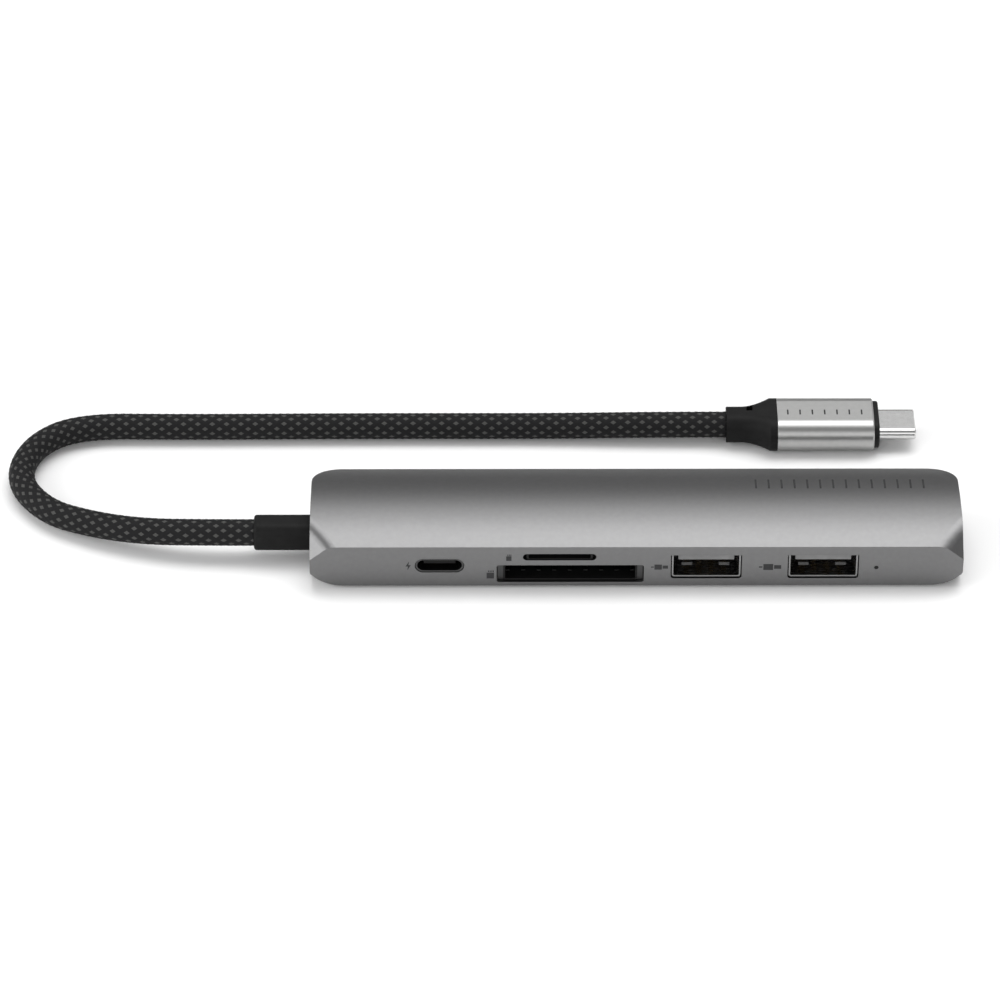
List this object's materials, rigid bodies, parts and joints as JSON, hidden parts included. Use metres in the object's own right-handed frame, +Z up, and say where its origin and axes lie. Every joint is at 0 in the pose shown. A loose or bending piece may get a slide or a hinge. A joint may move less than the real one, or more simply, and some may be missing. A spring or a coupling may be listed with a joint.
{
  "type": "usb hub",
  "caption": "Slim aluminium hub with power, card and data ports along one side and a short braided cable ending in a connector plug.",
  "frame": {"origin": "on the table under the middle of the housing", "axes": "+X along the housing from the cable to the status light, the ports open towards -Y, +Z up"},
  "size_m": [0.1822, 0.0539, 0.0116],
  "materials": {
    "space_grey_aluminium": "bead blasted and anodised",
    "cover_aluminium": "bead blasted and anodised",
    "sleeve_aluminium": "fine blasted, silver",
    "foot_rubber": "matt",
    "boot_rubber": "matt",
    "braid": "tight braid with grey flecks",
    "collar_black": "satin",
    "plug_nickel": "polished nickel",
    "port_steel": "satin",
    "socket_steel": "satin",
    "socket_black": "moulded",
    "tongue_grey": "moulded",
    "contact_gold": "gold plated",
    "contact_steel": "satin",
    "light_pipe": "clear, unlit",
    "screw_steel": "blackened",
    "board": "solder mask",
    "chip_black": "moulded",
    "crystal_can": "satin",
    "inductor_grey": "ferrite",
    "capacitor_tan": "fired",
    "thermal_silicone": "soft",
    "wire_pvc": "extruded"
  },
  "bodies": {
    "root": {"housing_shell": "space_grey_aluminium", "bottom_cover": "cover_aluminium", "foot_pads": "foot_rubber", "cover_screws": "screw_steel", "main_board": "board", "board_screws": "screw_steel", "hub_controller": "chip_black", "power_controller": "chip_black", "card_reader_chip": "chip_black", "firmware_chip": "chip_black", "crystal": "crystal_can", "power_inductors": "inductor_grey", "bulk_capacitors": "capacitor_tan", "small_capacitors": "capacitor_tan", "protection_diodes": "chip_black", "thermal_pad": "thermal_silicone", "usb_c_shell": "socket_steel", "usb_c_tongue": "socket_black", "usb_c_contacts": "contact_gold", "sd_frame": "socket_black", "sd_cover": "socket_steel", "sd_contacts": "contact_steel", "microsd_frame": "socket_black", "microsd_cover": "socket_steel", "microsd_contacts": "contact_steel", "usb_a_left_shell": "port_steel", "usb_a_left_tongue": "tongue_grey", "usb_a_left_contacts": "contact_gold", "usb_a_right_shell": "port_steel", "usb_a_right_tongue": "tongue_grey", "usb_a_right_contacts": "contact_gold", "status_light_pipe": "light_pipe", "status_led": "capacitor_tan", "cable_boot": "boot_rubber", "cable_clamp": "socket_black", "cable_wires": "wire_pvc", "cable": "braid", "plug_boot": "boot_rubber", "plug_sleeve": "sleeve_aluminium", "plug_collar": "collar_black", "plug_shell": "plug_nickel", "plug_insulator": "socket_black", "plug_contacts": "contact_gold", "plug_board": "board", "plug_inner_mould": "socket_black"}
  },
  "joints": []
}
